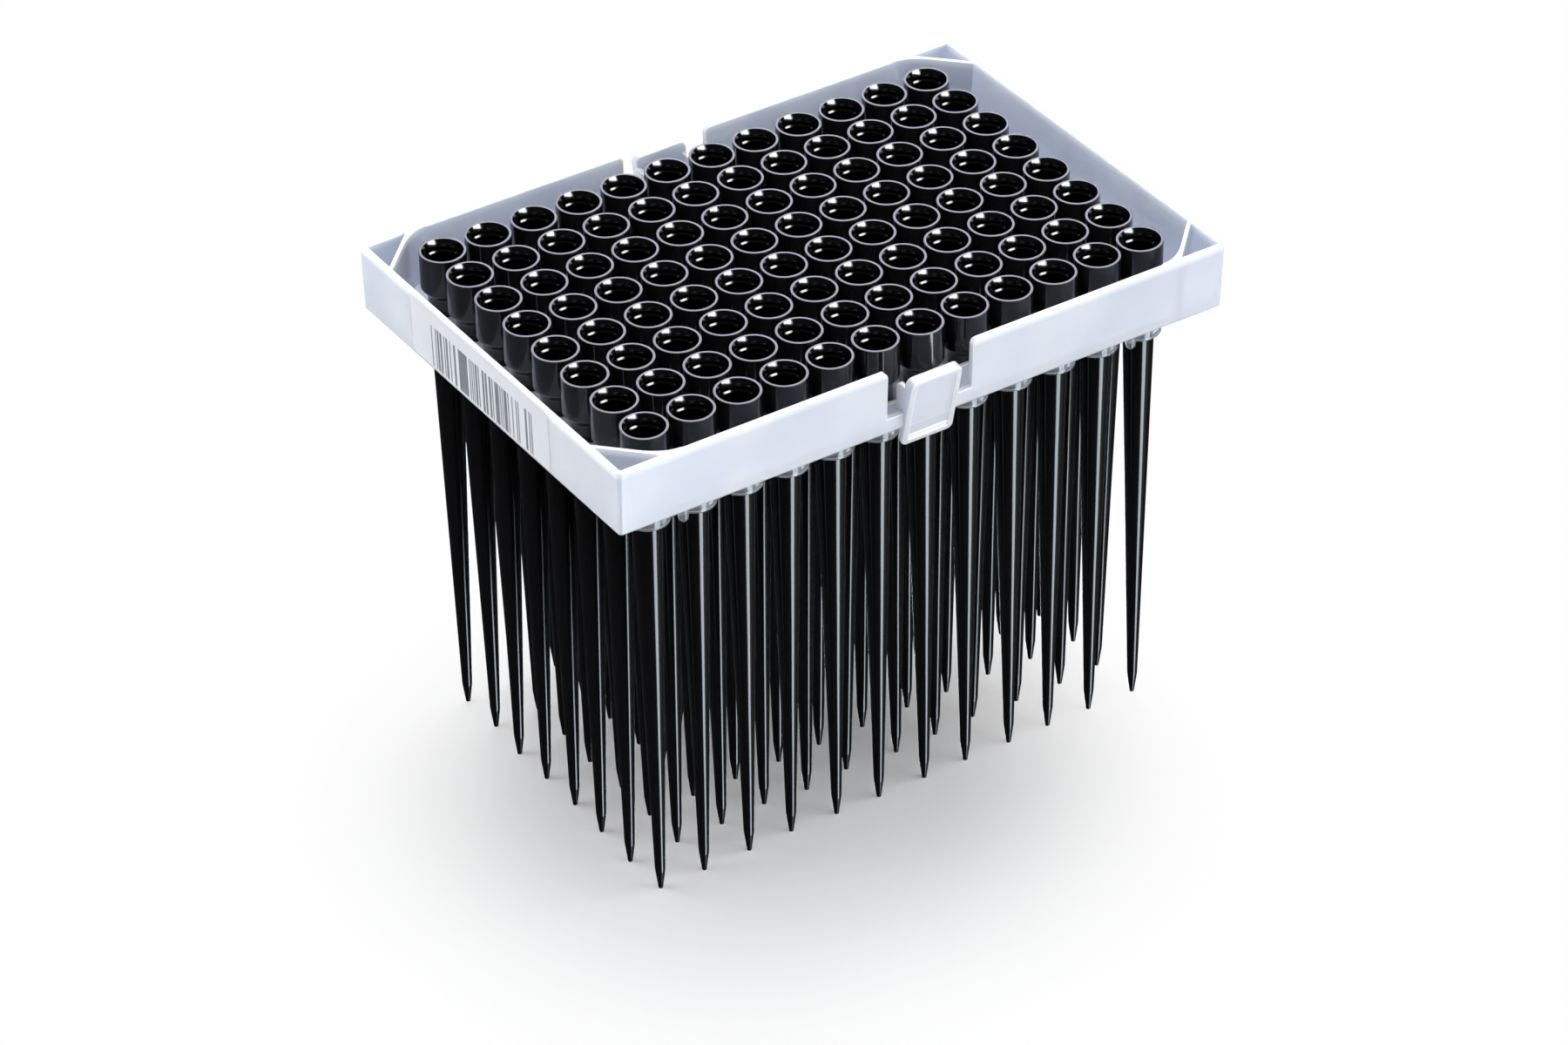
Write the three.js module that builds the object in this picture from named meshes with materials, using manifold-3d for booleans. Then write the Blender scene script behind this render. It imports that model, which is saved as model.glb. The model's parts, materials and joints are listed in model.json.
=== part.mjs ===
// Rack of long pipette tips: a shallow moulded tray with a round collar for each tip, and two sprung clips.
// Millimetres, +Z up. The origin lies under the middle of the tray, level with the tips' lower ends.
// X runs along the long side. Rows A to H go from back to front, columns 1 to 12 from left to right.

import * as THREE from 'three';
import { mergeVertices } from 'three/addons/utils/BufferGeometryUtils.js';
import Module from 'manifold-3d';

const wasm = await Module();
wasm.setup();

// Grid of tips
const COLUMNS = 12;
const ROWS = 8;
const PITCH = 9;
const LOOSE_COLUMNS = 7; // columns whose tips are pieces of their own; the others are one with the tray

// Tip
const TIP_LENGTH = 95.1;
const TIP_WALL = 0.6;
const HEAD_DIAMETER = 8.1;
const HEAD_HEIGHT = 6.9;
const SHOULDER_HEIGHT = 1.5;
const NECK_DIAMETER = 5.9;
const POINT_DIAMETER = 1.8; // where the long body ends and the final point starts
const POINT_HEIGHT = 3.9;
const ORIFICE_DIAMETER = 0.4;
const ORIFICE_WALL = 0.2;
const TIP_STANDOUT = 11.1; // height of the tip's rim over the deck

// Tray
const END_MARGIN = 11; // from the axes of an outer column to the tray's end
const SIDE_MARGIN = 9.35; // from the axes of an outer row to the tray's long side
const TRAY_CORNER = 1;
const BASIN_DEPTH = 11.1;
const DECK_THICKNESS = 1.3;
const TRAY_WALL = 1.1;
const WALL_LEAN = 0.3; // how far each wall comes in from its top edge to its bottom edge
const COLLAR_DIAMETER = 8;
const COLLAR_DEPTH = 5.8;
const TIP_CLEARANCE = 0.3;
const WEB_THICKNESS = 0.9;
const WEB_OFFSET = 7.2; // from the corner tip's axis to the middle of the slanted web
const WEB_FLARE = 6.3; // length of wall over which the web runs out along the long wall
const PIN_DIAMETER = 1.8;
const PIN_OFFSET = 4; // from the outer row's axes towards the long wall

// Gap in each long wall, and the bar at its foot
const GAP_WIDTH = 17;
const GAP_CORNER = 1.2;
const BAR_HEIGHT = 2.9;
const SLOT_WIDTH = 2.4; // slot through the deck behind the bar

// Clip
const CLIP_WIDTH = 10.2;
const CLIP_ABOVE_AXIS = 8.6;
const CLIP_BELOW_AXIS = 5.6;
const CLIP_LEAN = 10; // degrees
const CLIP_TOP_THICKNESS = 1.8;
const CLIP_FOOT_THICKNESS = 1.25;
const CLIP_BACK_OFFSET = 0.35; // how far the clip's back lies inside the bar's middle, level with the axis
const CLIP_CLEARANCE = 0.3;
const PANEL_BORDER = 0.9;
const PANEL_DEPTH = 0.35;
const FLANGE_THICKNESS = 0.8;
const FLANGE_DEPTH = 1.8; // how far the flange reaches in from the bar's middle
const FLANGE_TOP = 6.6; // above the axis
const FLANGE_CHAMFER = 0.7;

// Facets
const ROUND_SIDES = 8;
const PIN_SIDES = 6;
const CORNER_SIDES = 2;
const OVERCUT = 1; // how far a cutting solid runs past the face it cuts

// Tray's outline at its top edge
const trayLength = (COLUMNS - 1) * PITCH + 2 * END_MARGIN;
const trayWidth = (ROWS - 1) * PITCH + 2 * SIDE_MARGIN;

// Levels
const deckTop = TIP_LENGTH - TIP_STANDOUT;
const deckBottom = deckTop - DECK_THICKNESS;
const wallTop = deckTop + BASIN_DEPTH;
const wallHeight = wallTop - deckBottom;
const collarBottom = deckBottom - COLLAR_DEPTH;
const barTop = deckBottom + BAR_HEIGHT;
const axisHeight = deckBottom + BAR_HEIGHT / 2;

const trayPlastic = { color: '#e4e9f1', roughness: 0.35, metalness: 0 };
const tipPlastic = { color: '#101013', roughness: 0.2, metalness: 0 };

function toSolid(geometry) {
  const bare = geometry.clone();
  bare.deleteAttribute('normal');
  bare.deleteAttribute('uv');
  const merged = mergeVertices(bare, 1e-4);
  const vertProperties = new Float32Array(merged.attributes.position.array);
  const triVerts = new Uint32Array(merged.index.array);
  return new wasm.Manifold(new wasm.Mesh({ numProp: 3, vertProperties, triVerts }));
}

function toGeometry(solid) {
  const mesh = solid.getMesh();
  const geometry = new THREE.BufferGeometry();
  geometry.setAttribute('position', new THREE.BufferAttribute(mesh.vertProperties, 3));
  geometry.setIndex(new THREE.BufferAttribute(mesh.triVerts, 1));
  return geometry;
}

function namedMesh(name, geometry, finish) {
  const mesh = new THREE.Mesh(geometry, new THREE.MeshStandardMaterial(finish));
  mesh.name = name;
  return mesh;
}

function joinAll(solids) {
  return solids.reduce((sum, solid) => sum.add(solid));
}

// A box given by its lowest and highest corners.
function block(low, high) {
  const size = high.map((value, axis) => value - low[axis]);
  const middle = high.map((value, axis) => (value + low[axis]) / 2);
  return toSolid(new THREE.BoxGeometry(...size).translate(...middle));
}

// An outline extruded upwards from one level to another.
function prism(shape, bottom, top) {
  const settings = { depth: top - bottom, bevelEnabled: false, curveSegments: CORNER_SIDES };
  return new THREE.ExtrudeGeometry(shape, settings).translate(0, 0, bottom);
}

// An outline drawn in Y and Z, extruded along X about the middle.
function prismAlongX(points, width, centre = 0) {
  const shape = new THREE.Shape(points.map(([y, z]) => new THREE.Vector2(y, z)));
  const geometry = new THREE.ExtrudeGeometry(shape, { depth: width, bevelEnabled: false });
  geometry.rotateY(Math.PI / 2).rotateX(Math.PI / 2);
  return toSolid(geometry.translate(centre - width / 2, 0, 0));
}

// A cone or cylinder standing on the level called bottom.
function cone(x, y, bottomRadius, bottom, topRadius, top, sides = ROUND_SIDES) {
  const geometry = new THREE.CylinderGeometry(topRadius, bottomRadius, top - bottom, sides);
  return toSolid(geometry.rotateX(Math.PI / 2).translate(x, y, (bottom + top) / 2));
}

// The middle of each tip, with its name and whether it is a piece of its own.
function tipPlaces() {
  const places = [];
  for (let row = 0; row < ROWS; row += 1) {
    for (let column = 0; column < COLUMNS; column += 1) {
      const x = (column - (COLUMNS - 1) / 2) * PITCH;
      const y = ((ROWS - 1) / 2 - row) * PITCH;
      const name = `tip_${String.fromCharCode(65 + row)}${column + 1}`;
      places.push({ name, x, y, loose: column < LOOSE_COLUMNS });
    }
  }
  return places;
}

// Outer radius of the tip's body at a level below its shoulder.
function bodyRadius(level) {
  const shoulderFoot = TIP_LENGTH - HEAD_HEIGHT - SHOULDER_HEIGHT;
  const share = (shoulderFoot - level) / (shoulderFoot - POINT_HEIGHT);
  return THREE.MathUtils.lerp(NECK_DIAMETER, POINT_DIAMETER, share) / 2;
}

function tipGeometry() {
  const headFoot = TIP_LENGTH - HEAD_HEIGHT;
  const shoulderFoot = headFoot - SHOULDER_HEIGHT;
  const bore = HEAD_DIAMETER / 2 - TIP_WALL;
  const profile = [
    [HEAD_DIAMETER / 2, TIP_LENGTH],
    [HEAD_DIAMETER / 2, headFoot],
    [NECK_DIAMETER / 2, shoulderFoot],
    [POINT_DIAMETER / 2, POINT_HEIGHT],
    [ORIFICE_DIAMETER / 2 + ORIFICE_WALL, 0],
    [ORIFICE_DIAMETER / 2, 0],
    [NECK_DIAMETER / 2 - TIP_WALL, shoulderFoot + TIP_WALL / 2],
    [bore, headFoot + TIP_WALL / 2],
    [bore, TIP_LENGTH],
    [HEAD_DIAMETER / 2, TIP_LENGTH],
  ];
  const points = profile.map(([radius, height]) => new THREE.Vector2(radius, height)).reverse();
  return new THREE.LatheGeometry(points, ROUND_SIDES).rotateX(Math.PI / 2);
}

function roundedRectangle(length, width, corner) {
  const x = length / 2 - corner;
  const y = width / 2 - corner;
  const shape = new THREE.Shape();
  shape.absarc(x, y, corner, 0, Math.PI / 2);
  shape.absarc(-x, y, corner, Math.PI / 2, Math.PI);
  shape.absarc(-x, -y, corner, Math.PI, Math.PI * 1.5);
  shape.absarc(x, -y, corner, Math.PI * 1.5, Math.PI * 2);
  return shape;
}

// A block whose sides lean in by WALL_LEAN over the wall's height, sized at the wall's top.
function leaningBlock(length, width, corner, bottom, top) {
  const geometry = prism(roundedRectangle(length, width, corner), bottom, top);
  const places = geometry.attributes.position;
  for (let i = 0; i < places.count; i += 1) {
    const inset = (WALL_LEAN * (wallTop - places.getZ(i))) / wallHeight;
    places.setX(i, places.getX(i) - Math.sign(places.getX(i)) * inset);
    places.setY(i, places.getY(i) - Math.sign(places.getY(i)) * inset);
  }
  return toSolid(geometry);
}

// The slanted web that cuts off one corner. It flares out where it meets the long wall.
function cornerWeb(signX, signY) {
  const tipX = ((COLUMNS - 1) / 2) * PITCH;
  const tipY = ((ROWS - 1) / 2) * PITCH;
  const reachX = END_MARGIN - TRAY_WALL / 2;
  const reachY = SIDE_MARGIN - TRAY_WALL / 2;
  const near = WEB_OFFSET * Math.SQRT2 - WEB_THICKNESS / Math.SQRT2;
  const far = WEB_OFFSET * Math.SQRT2 + WEB_THICKNESS / Math.SQRT2;
  const corner = (x, y) => [signX * (tipX + x), signY * (tipY + y)];
  const flareY = reachY - TRAY_WALL / 2;
  const flareStart = near - flareY + WEB_FLARE / 2;
  const shape = new THREE.Shape();
  shape.moveTo(...corner(reachX, near - reachX));
  shape.lineTo(...corner(reachX, far - reachX));
  shape.lineTo(...corner(far - reachY, reachY));
  shape.lineTo(...corner(near - flareY - WEB_FLARE / 2, reachY));
  shape.lineTo(...corner(near - flareY - WEB_FLARE / 2, flareY));
  shape.quadraticCurveTo(
    ...corner(near - flareY, flareY),
    ...corner(flareStart, near - flareStart),
  );
  return toSolid(prism(shape, deckTop - DECK_THICKNESS / 2, wallTop));
}

// The gap above the bar, cut through both long walls at once, with rounded upper corners.
function gapCut() {
  const half = GAP_WIDTH / 2;
  const shape = new THREE.Shape();
  shape.moveTo(-half, barTop);
  shape.lineTo(half, barTop);
  shape.lineTo(half, wallTop - GAP_CORNER);
  shape.absarc(half + GAP_CORNER, wallTop - GAP_CORNER, GAP_CORNER, Math.PI, Math.PI / 2, true);
  shape.lineTo(half + GAP_CORNER, wallTop + OVERCUT);
  shape.lineTo(-half - GAP_CORNER, wallTop + OVERCUT);
  shape.lineTo(-half - GAP_CORNER, wallTop);
  shape.absarc(-half - GAP_CORNER, wallTop - GAP_CORNER, GAP_CORNER, Math.PI / 2, 0, true);
  const depth = trayWidth + 2 * OVERCUT;
  const settings = { depth, bevelEnabled: false, curveSegments: CORNER_SIDES };
  const geometry = new THREE.ExtrudeGeometry(shape, settings);
  return toSolid(geometry.rotateX(Math.PI / 2).translate(0, depth / 2, 0));
}

// On each long side: the slot through the deck behind the bar, and the room for the clip in the bar.
function clipCuts(sign) {
  const innerFace = trayWidth / 2 - TRAY_WALL - WALL_LEAN;
  const ends = [sign * (innerFace - SLOT_WIDTH), sign * innerFace].sort((a, b) => a - b);
  const slot = block(
    [-GAP_WIDTH / 2, ends[0], deckBottom - OVERCUT],
    [GAP_WIDTH / 2, ends[1], deckTop + OVERCUT],
  );
  const room = CLIP_WIDTH / 2 + CLIP_CLEARANCE;
  const sides = [sign * innerFace, sign * (trayWidth / 2 + OVERCUT)].sort((a, b) => a - b);
  const notch = block(
    [-room, sides[0], deckBottom - OVERCUT],
    [room, sides[1], barTop + OVERCUT],
  );
  return slot.add(notch);
}

function trayShell() {
  const outer = leaningBlock(trayLength, trayWidth, TRAY_CORNER, deckBottom, wallTop);
  const innerLength = trayLength - 2 * TRAY_WALL;
  const innerWidth = trayWidth - 2 * TRAY_WALL;
  const basin = leaningBlock(innerLength, innerWidth, TRAY_CORNER / 2, deckTop, wallTop + OVERCUT);
  const webs = [[1, 1], [1, -1], [-1, 1], [-1, -1]].map(([x, y]) => cornerWeb(x, y));
  const walled = outer.subtract(basin).add(joinAll(webs).intersect(outer));
  return walled.subtract(gapCut()).subtract(clipCuts(1).add(clipCuts(-1)));
}

// The pins under the deck, between the last two columns at each corner.
function deckPins() {
  const x = ((COLUMNS - 2) / 2) * PITCH;
  const y = ((ROWS - 1) / 2) * PITCH + PIN_OFFSET;
  const radius = PIN_DIAMETER / 2;
  const root = deckTop - OVERCUT / 2;
  const pin = (signX, signY) => cone(signX * x, signY * y, radius, collarBottom, radius, root, PIN_SIDES);
  return joinAll([pin(1, 1), pin(1, -1), pin(-1, 1), pin(-1, -1)]);
}

// The bore of a collar: a clear fit around a loose tip, or inside the wall of a fused one.
function collarBore({ x, y, loose }) {
  const play = loose ? TIP_CLEARANCE : -TIP_WALL / 2;
  const bottom = collarBottom - OVERCUT;
  const top = deckTop + OVERCUT;
  return cone(x, y, bodyRadius(bottom) + play, bottom, bodyRadius(top) + play, top);
}

function trayGeometry(places) {
  const radius = COLLAR_DIAMETER / 2;
  const collars = places.map(({ x, y }) => cone(x, y, radius, collarBottom, radius, deckTop - OVERCUT / 2));
  const body = trayShell().add(joinAll(collars)).add(deckPins());
  const bored = body.subtract(joinAll(places.map(collarBore)));
  const fixedTips = places
    .filter((place) => !place.loose)
    .map(({ x, y }) => toSolid(tipGeometry().translate(x, y, 0)));
  return toGeometry(bored.add(joinAll(fixedTips)));
}

// The clip's side view, about the bar's axis: Y is inwards, so the front face has the lowest Y.
function clipPlate() {
  const slope = Math.tan(THREE.MathUtils.degToRad(CLIP_LEAN));
  const back = (height) => CLIP_BACK_OFFSET - height * slope;
  const front = (height) => {
    const share = (height + CLIP_BELOW_AXIS) / (CLIP_ABOVE_AXIS + CLIP_BELOW_AXIS);
    return back(height) - THREE.MathUtils.lerp(CLIP_FOOT_THICKNESS, CLIP_TOP_THICKNESS, share);
  };
  const frontTop = CLIP_ABOVE_AXIS - CLIP_TOP_THICKNESS * slope;
  const backFoot = CLIP_FOOT_THICKNESS * slope - CLIP_BELOW_AXIS;
  const plate = prismAlongX([
    [back(CLIP_ABOVE_AXIS), CLIP_ABOVE_AXIS],
    [front(frontTop), frontTop],
    [front(-CLIP_BELOW_AXIS), -CLIP_BELOW_AXIS],
    [back(backFoot), backFoot],
  ], CLIP_WIDTH);
  const panelFoot = PANEL_BORDER - CLIP_BELOW_AXIS;
  const panelTop = frontTop - PANEL_BORDER;
  const panel = prismAlongX([
    [front(panelFoot) + PANEL_DEPTH, panelFoot],
    [front(panelTop) + PANEL_DEPTH, panelTop],
    [front(panelTop) - OVERCUT, panelTop],
    [front(panelFoot) - OVERCUT, panelFoot],
  ], CLIP_WIDTH - 2 * PANEL_BORDER);
  return { plate: plate.subtract(panel), back };
}

function clipGeometry() {
  const { plate, back } = clipPlate();
  const barHalf = TRAY_WALL / 2;
  const hub = block([-CLIP_WIDTH / 2, -barHalf, -BAR_HEIGHT / 2], [CLIP_WIDTH / 2, barHalf, BAR_HEIGHT / 2]);
  const flangeFoot = BAR_HEIGHT / 2;
  const rooted = CLIP_FOOT_THICKNESS / 2;
  const outline = [
    [back(FLANGE_TOP) - rooted, FLANGE_TOP],
    [FLANGE_DEPTH - FLANGE_CHAMFER, FLANGE_TOP],
    [FLANGE_DEPTH, FLANGE_TOP - FLANGE_CHAMFER],
    [FLANGE_DEPTH, flangeFoot],
    [back(flangeFoot) - rooted, flangeFoot],
  ];
  const flangeX = (CLIP_WIDTH - FLANGE_THICKNESS) / 2;
  const flanges = [-1, 1].map((side) => prismAlongX(outline, FLANGE_THICKNESS, side * flangeX));
  return toGeometry(plate.add(hub).add(joinAll(flanges)));
}

function clip(name, sign) {
  const mesh = namedMesh(name, clipGeometry(), trayPlastic);
  const barMiddle = trayWidth / 2 - (WALL_LEAN * (wallTop - axisHeight)) / wallHeight - TRAY_WALL / 2;
  mesh.position.set(0, sign * barMiddle, axisHeight);
  mesh.rotation.z = sign > 0 ? Math.PI : 0;
  return mesh;
}

const rack = new THREE.Group();
const places = tipPlaces();
rack.add(namedMesh('tray', trayGeometry(places), trayPlastic));
rack.add(clip('front_clip', -1));
rack.add(clip('rear_clip', 1));
for (const place of places.filter(({ loose }) => loose)) {
  const tip = namedMesh(place.name, tipGeometry(), tipPlastic);
  tip.position.set(place.x, place.y, 0);
  rack.add(tip);
}

export default rack;
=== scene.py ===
"""A rack of long pipette tips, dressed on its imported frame. Metres, +Z up, in the row frame."""

import json
import math

import bmesh
import bpy
from mathutils import Matrix, Vector


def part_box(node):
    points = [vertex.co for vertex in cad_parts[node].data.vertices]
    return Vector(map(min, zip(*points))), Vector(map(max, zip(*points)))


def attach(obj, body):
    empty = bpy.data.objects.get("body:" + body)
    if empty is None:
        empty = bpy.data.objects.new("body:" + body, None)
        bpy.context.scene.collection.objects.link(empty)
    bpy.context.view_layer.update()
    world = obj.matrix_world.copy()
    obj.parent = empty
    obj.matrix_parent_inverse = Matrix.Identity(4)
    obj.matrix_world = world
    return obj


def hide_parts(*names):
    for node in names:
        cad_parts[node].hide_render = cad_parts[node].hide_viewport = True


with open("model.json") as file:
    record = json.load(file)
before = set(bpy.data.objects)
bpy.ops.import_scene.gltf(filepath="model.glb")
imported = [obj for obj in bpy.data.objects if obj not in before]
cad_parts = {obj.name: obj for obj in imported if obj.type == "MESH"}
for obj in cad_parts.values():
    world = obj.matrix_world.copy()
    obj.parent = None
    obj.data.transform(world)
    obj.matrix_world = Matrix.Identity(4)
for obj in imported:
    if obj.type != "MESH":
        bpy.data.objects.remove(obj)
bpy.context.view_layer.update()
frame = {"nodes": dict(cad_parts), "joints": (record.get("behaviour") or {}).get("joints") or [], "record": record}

MM = 0.001

# Places and sizes taken from the frame
tray_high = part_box("tray")[1]
first_tip_low, first_tip_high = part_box("tip_A1")
next_tip_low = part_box("tip_A2")[0]
hinges = {joint["name"]: Vector(joint["pos_m"]) for joint in frame["joints"]}
deck_bottom = frame["record"]["mounts"][0]["pos_m"][2]
rim_level = tray_high.z
pitch = next_tip_low.x - first_tip_low.x
head_radius = (first_tip_high.x - first_tip_low.x) / 2
first_column = (first_tip_low.x + first_tip_high.x) / 2
back_row = (first_tip_low.y + first_tip_high.y) / 2
COLUMNS = round(-2 * first_column / pitch) + 1
ROWS = round(2 * back_row / pitch) + 1

# Degrees up to which an edge between two faces is shaded smooth
SMOOTH_MOULDING = 40
SMOOTH_TIPS = 33

PAST = 1.0 * MM  # how far a cutter reaches past what it cuts

# Tip
HEAD_HEIGHT = 6.9 * MM
SHOULDER_HEIGHT = 1.5 * MM
NECK_RADIUS = 2.95 * MM
POINT_RADIUS = 0.9 * MM
POINT_HEIGHT = 3.9 * MM
# Softened bends of the outside: where each starts below and ends above its level, and how far the
# radius leaves the taper there
POINT_BEND = (0.3 * MM, 0.2 * MM, 0.05 * MM)
NECK_BEND = (0.3 * MM, 0.2 * MM, 0.12 * MM)
HEAD_BEND = (0.25 * MM, 0.1 * MM, 0.15 * MM)
BODY_RINGS = (30 * MM, 60 * MM)
NECK_RING = 1.5 * MM  # how far under the neck the last ring of the body lies
ORIFICE_RADIUS = 0.2 * MM
ORIFICE_WALL = 0.2 * MM
TIP_WALL = 0.6 * MM
RIM_ROUND = 0.06 * MM
RIM_WIDTH = 0.44 * MM
MOUTH_TAPER = 0.5 * MM
MOUTH_DEPTH = 1.05 * MM
GROOVE_DEPTH = 1.55 * MM  # from the rim down to the groove that a pipetting head's ring grips
GROOVE_HEIGHT = 0.45 * MM
GROOVE_RELIEF = 0.2 * MM
LIP_WIDTH = 0.2 * MM
LIP_HEIGHT = 0.3 * MM
SEAT_FOOT = 0.4 * MM  # the straight part of the mouth ends this far above the head's foot
TIP_SIDES = 36
TIP_PLAY = math.radians(0.35)
TIP_LEAN = (math.radians(-0.33), math.radians(-0.5))  # all hang a little to one side

# Tray
DECK_THICKNESS = 1.3 * MM
TRAY_WALL = 1.1 * MM
WALL_LEAN = 0.3 * MM
TRAY_CORNER = 1.0 * MM
EDGE_ROUND = 0.35 * MM
FOOT_ROUND = 0.4 * MM
COLLAR_RADIUS = 4.0 * MM
COLLAR_DEPTH = 5.8 * MM
COLLAR_ROUND = 0.25 * MM
COLLAR_ROOT = 0.4 * MM  # how far under the deck's top face a collar is rooted
COLLAR_PLAY = 0.12 * MM
COLLAR_SIDES = 40
LEAD_IN = 0.75 * MM
WEB_THICKNESS = 0.65 * MM
WEB_OFFSET = 7.2 * MM
WEB_FLARE = 6.3 * MM
WEB_STEPS = 8
WEB_DROP = 0.05 * MM  # from the rim down to the webs' top
PIN_RADIUS = 0.9 * MM
PIN_OFFSET = 4.0 * MM
PIN_ROOT = 0.3 * MM
PIN_SIDES = 20

# Gap, bar and clip
GAP_WIDTH = 17.0 * MM
GAP_CORNER = 1.2 * MM
BAR_HEIGHT = 2.9 * MM
SLOT_WIDTH = 2.4 * MM
CURB_HEIGHT = 4.9 * MM  # a low wall behind each slot
CURB_THICKNESS = 0.8 * MM
CURB_REACH = 3.2 * MM  # past the gap on both sides
CURB_ROOT = 0.2 * MM
CLIP_WIDTH = 10.2 * MM
CLIP_ABOVE = 8.6 * MM
CLIP_BELOW = 5.6 * MM
CLIP_LEAN = math.radians(10)
CLIP_TOP = 1.8 * MM
CLIP_FOOT = 1.25 * MM
CLIP_BACK = 0.35 * MM
CLIP_CORNER = 1.1 * MM
CLIP_ROUND = 0.3 * MM
LEAST_CORNER = 0.15 * MM
PANEL_BORDER = 0.75 * MM
PANEL_DEPTH = 0.35 * MM
PANEL_SLOPE = 0.2 * MM
RIB_LEVEL = 2.1 * PANEL_BORDER  # above the plate's foot
RIB_INSET = 1.6 * PANEL_BORDER
RIB_HEIGHT = 0.35 * MM
RIB_ROOT = 0.2 * MM
RIB_SINK = 0.1 * MM  # how far behind the frame's face the rib's lies
FLANGE_THICKNESS = 0.8 * MM
FLANGE_DEPTH = 1.8 * MM
FLANGE_TOP = 6.6 * MM
FLANGE_CHAMFER = 0.7 * MM
FLANGE_SINK = 0.1 * MM  # how far a flange's foot reaches into the hub
JOIN_PLAY = 0.02 * MM
JOIN_DEPTH = 0.2 * MM  # how far the room for a clip reaches in past its bar

# Printed bars on the left end
PRINT_LENGTH = 34.0 * MM
PRINT_HEIGHT = 8.2 * MM
PRINT_STEPS = 110
PRINT_SHIFT = 2.2 * MM  # towards the back
PRINT_FOOT = 0.9 * MM
INK_FILM = 0.02 * MM
LABEL_LENGTH = 43.5 * MM
LABEL_HEIGHT = 11.2 * MM
LABEL_CORNER = 0.8 * MM
LABEL_FILM = 0.03 * MM

# Shadow on the table, which falls towards the front left corner: round this centre it shows, and from the core out
# to the reach a painted white glow on the table fades it away
SHADOW_CENTRE = (-25 * MM, -23 * MM, 0)
SHADOW_CORE = 30 * MM
SHADOW_REACH = 90 * MM

# Stage
RACK_MIDDLE = (0, 0, 0.06)
LAMP_FAR = 1.2
LAMP_NEAR = 0.65
STRIP_DROP = 0.54  # the long strips stand this far below the rack and show along the whole tips
TABLE_HALF = 6.0
CAMERA_PLACE = (-0.4484, -0.6760, 0.6144)
CAMERA_AIM = (-0.01866, -0.02519, 0.060)
CAMERA_LENS = 131.4
CAMERA_ROLL = math.radians(0.39)

deck_top = deck_bottom + DECK_THICKNESS
collar_bottom = deck_bottom - COLLAR_DEPTH
polished_below = deck_bottom - 0.3 * MM
satin_above = deck_bottom + 0.5 * MM
wall_height = rim_level - deck_bottom
head_foot = rim_level - HEAD_HEIGHT
shoulder_foot = head_foot - SHOULDER_HEIGHT
half_length = tray_high.x
half_width = tray_high.y
last_column = -first_column
last_row = back_row


# ---------------------------------------------------------------- meshes

def new_object(name, data):
    """An object in the scene for a mesh, a lamp or a camera."""
    made = bpy.data.objects.new(name, data)
    bpy.context.scene.collection.objects.link(made)
    return made


def object_from(name, mesh_maker):
    """An object whose mesh is what the maker leaves in an empty bmesh."""
    mesh = bpy.data.meshes.new(name)
    bm = bmesh.new()
    mesh_maker(bm)
    if len(bm.faces) > 1:
        bmesh.ops.recalc_face_normals(bm, faces=bm.faces)
    bm.to_mesh(mesh)
    bm.free()
    return new_object(name, mesh)


def loft(bm, rings, joined_round=False):
    """Quads between rings of one count. The ends are capped, or the last ring meets the first."""
    loops = [[bm.verts.new(point) for point in ring] for ring in rings]
    pairs = list(zip(loops, loops[1:]))
    if joined_round:
        pairs.append((loops[-1], loops[0]))
    for low, high in pairs:
        count = len(low)
        for i in range(count):
            j = (i + 1) % count
            bm.faces.new((low[i], low[j], high[j], high[i]))
    if not joined_round:
        bm.faces.new(list(reversed(loops[0])))
        bm.faces.new(loops[-1])


def arc(centre, radius, start, end, steps):
    """Points of an arc in a plane, from one angle to another, in degrees."""
    points = []
    for i in range(steps + 1):
        angle = math.radians(start + (end - start) * i / steps)
        x, y = radius * math.cos(angle), radius * math.sin(angle)
        points.append((centre[0] + x, centre[1] + y))
    return points


def circle(radius, level, sides, centre=(0, 0)):
    """A level ring round a centre."""
    return [
        Vector((x, y, level))
        for x, y in arc(centre, radius, 0, 360 - 360 / sides, sides - 1)
    ]


def rounded_rectangle(half_x, half_y, corner, level, steps=5):
    """A level rectangle round the origin with rounded corners."""
    x, y = half_x - corner, half_y - corner
    points = arc((x, y), corner, 0, 90, steps)
    points += arc((-x, y), corner, 90, 180, steps)
    points += arc((-x, -y), corner, 180, 270, steps)
    points += arc((x, -y), corner, 270, 360, steps)
    return [Vector((px, py, level)) for px, py in points]


def block(bm, low, high):
    """A plain box between two corners, for cutting or joining."""
    corners = [(low[0], low[1]), (high[0], low[1]), (high[0], high[1]), (low[0], high[1])]
    loft(bm, [[Vector((x, y, z)) for x, y in corners] for z in (low[2], high[2])])


def prism(bm, outline, levels, place):
    """An outline carried from one level to another; place turns (u, v, level) into a point."""
    loft(bm, [[place(u, v, level) for u, v in outline] for level in levels])


# ---------------------------------------------------------------- node trees

def add(tree, kind, given=None, **settings):
    """Adds a node. Settings name its properties or inputs. Given holds what goes into an input, by
    its name or number: the socket it comes from, or a value."""
    node = tree.nodes.new(kind)
    for name, value in settings.items():
        if name in node.bl_rna.properties:
            setattr(node, name, value)
        else:
            label = name.replace("_", " ").lower()
            next(s for s in node.inputs if s.name.lower() == label).default_value = value
    for key, source in (given or {}).items():
        if isinstance(source, bpy.types.NodeSocket):
            tree.links.new(source, node.inputs[key])
        else:
            node.inputs[key].default_value = source
    return node


def linear(code):
    """An sRGB hex colour as the linear colour that a shader takes."""
    parts = [int(code[i:i + 2], 16) / 255 for i in (1, 3, 5)]
    return [p / 12.92 if p <= 0.04045 else ((p + 0.055) / 1.055) ** 2.4 for p in parts] + [1.0]


# ---------------------------------------------------------------- materials

def shader_tree(name):
    material = bpy.data.materials.new(name)
    material.use_nodes = True
    material.node_tree.nodes.clear()
    return material, material.node_tree


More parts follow.
